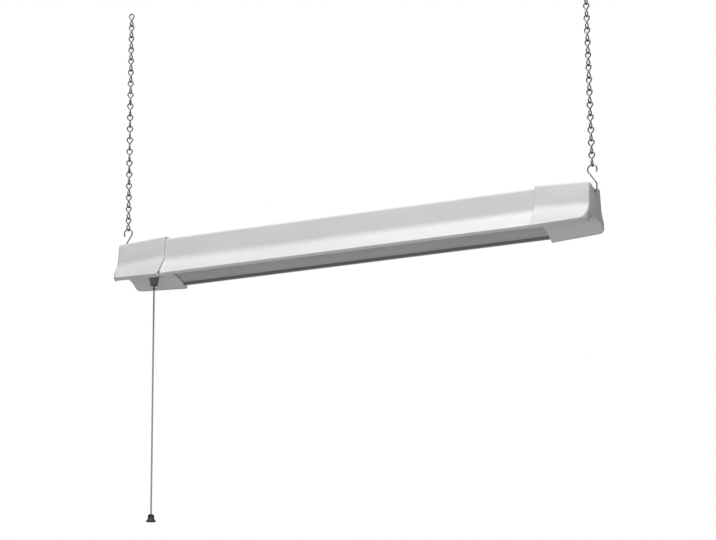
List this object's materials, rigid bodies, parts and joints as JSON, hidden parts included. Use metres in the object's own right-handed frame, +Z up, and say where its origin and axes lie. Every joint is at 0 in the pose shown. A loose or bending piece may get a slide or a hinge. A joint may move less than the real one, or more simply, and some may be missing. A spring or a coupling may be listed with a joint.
{
  "type": "hanging shop light",
  "caption": "Slim hanging shop light with a bell-shaped steel housing, moulded end caps, an arched lens, two hanging chains on S-hooks and a pull-cord switch.",
  "frame": {"origin": "midway between the two points where ceiling hooks bear inside the top links of the chains", "axes": "+X along the light, away from the pull switch; the front is -Y; +Z is up, against gravity"},
  "size_m": [0.6182, 0.0764, 0.6492],
  "materials": {
    "chain_steel": "zinc-plated wire, slightly dull",
    "hook_steel": "zinc-plated wire",
    "housing_paint": "satin white powder coat",
    "cap_plastic": "satin white moulded plastic",
    "lens_plastic": "frosted light diffuser",
    "plain_steel": "galvanised sheet and screws",
    "board_white": "white solder mask",
    "led_yellow": "phosphor over white frames",
    "driver_white": "moulded driver case",
    "black_plastic": "moulded black plastic",
    "dark_nut": "dark nickel plate",
    "cord_grey": "light twisted cord",
    "bell_dark": "dark moulded pull",
    "wire_black": "insulated wire",
    "wire_red": "insulated wire",
    "wire_white": "insulated wire",
    "wire_green": "insulated wire and green screw"
  },
  "bodies": {
    "root": {"left_top_link": "chain_steel", "right_top_link": "chain_steel"},
    "upper_links": {"left_second_link": "chain_steel", "right_second_link": "chain_steel"},
    "left_chain": {"left_chain": "chain_steel"},
    "right_chain": {"right_chain": "chain_steel"},
    "left_hook": {"left_s_hook": "hook_steel"},
    "right_hook": {"right_s_hook": "hook_steel"},
    "light": {"housing": "housing_paint", "left_end_cap": "cap_plastic", "right_end_cap": "cap_plastic", "lens": "lens_plastic", "cap_screws": "plain_steel", "gear_tray": "plain_steel", "tray_screws": "plain_steel", "left_hanger_bracket": "plain_steel", "right_hanger_bracket": "plain_steel", "bracket_screws": "plain_steel", "left_led_board": "board_white", "right_led_board": "board_white", "led_packages": "led_yellow", "board_screws": "plain_steel", "led_driver": "driver_white", "driver_screws": "plain_steel", "inlet_bushing": "black_plastic", "switch_body": "black_plastic", "switch_bushing": "plain_steel", "switch_nut": "dark_nut", "wire_connectors": "black_plastic", "live_lead": "wire_black", "switched_lead": "wire_red", "neutral_lead": "wire_white", "led_leads": "wire_red", "earth_lead": "wire_green", "earth_screw": "wire_green"},
    "plunger": {"switch_plunger": "plain_steel"},
    "bead": {"pull_bead": "chain_steel"},
    "cord": {"cord_coupling": "chain_steel", "pull_cord": "cord_grey", "pull_bell": "bell_dark"}
  },
  "joints": [
    {"name": "fore_aft_swing", "type": "hinge", "parent": "root", "child": "upper_links", "pos_m": [0, 0, -0.0141], "axis": [1, 0, 0], "range_deg": [-30, 30]},
    {"name": "left_swing", "type": "hinge", "parent": "upper_links", "child": "left_chain", "pos_m": [-0.3028, 0, -0.0307], "axis": [0, 1, 0], "range_deg": [-30, 30]},
    {"name": "right_swing", "type": "hinge", "parent": "upper_links", "child": "right_chain", "pos_m": [0.3028, 0, -0.0307], "axis": [0, 1, 0], "range_deg": [-30, 30]},
    {"name": "left_hook_turn", "type": "hinge", "parent": "left_chain", "child": "left_hook", "pos_m": [-0.3028, 0, -0.284], "axis": [0, 1, 0], "range_deg": [-30, 30]},
    {"name": "right_hook_turn", "type": "hinge", "parent": "right_chain", "child": "right_hook", "pos_m": [0.3028, 0, -0.284], "axis": [0, 1, 0], "range_deg": [-30, 30]},
    {"name": "light_roll", "type": "hinge", "parent": "left_hook", "child": "light", "pos_m": [-0.3028, 0, -0.314], "axis": [1, 0, 0], "range_deg": [-20, 20]},
    {"name": "switch_pull", "type": "slide", "parent": "light", "child": "plunger", "axis": [0, 0, -1], "range_m": [0, 0.008], "stiffness_N_per_m": 300},
    {"name": "bead_swing", "type": "hinge", "parent": "plunger", "child": "bead", "pos_m": [-0.265, 0, -0.35895], "axis": [0, 1, 0], "range_deg": [-25, 25]},
    {"name": "cord_swing", "type": "hinge", "parent": "bead", "child": "cord", "pos_m": [-0.265, 0, -0.35895], "axis": [1, 0, 0], "range_deg": [-25, 25]}
  ],
  "couplings": [
    {"joint": "right_swing", "follows": "left_swing", "ratio": 1},
    {"joint": "left_hook_turn", "follows": "left_swing", "ratio": -1},
    {"joint": "right_hook_turn", "follows": "left_swing", "ratio": -1}
  ]
}
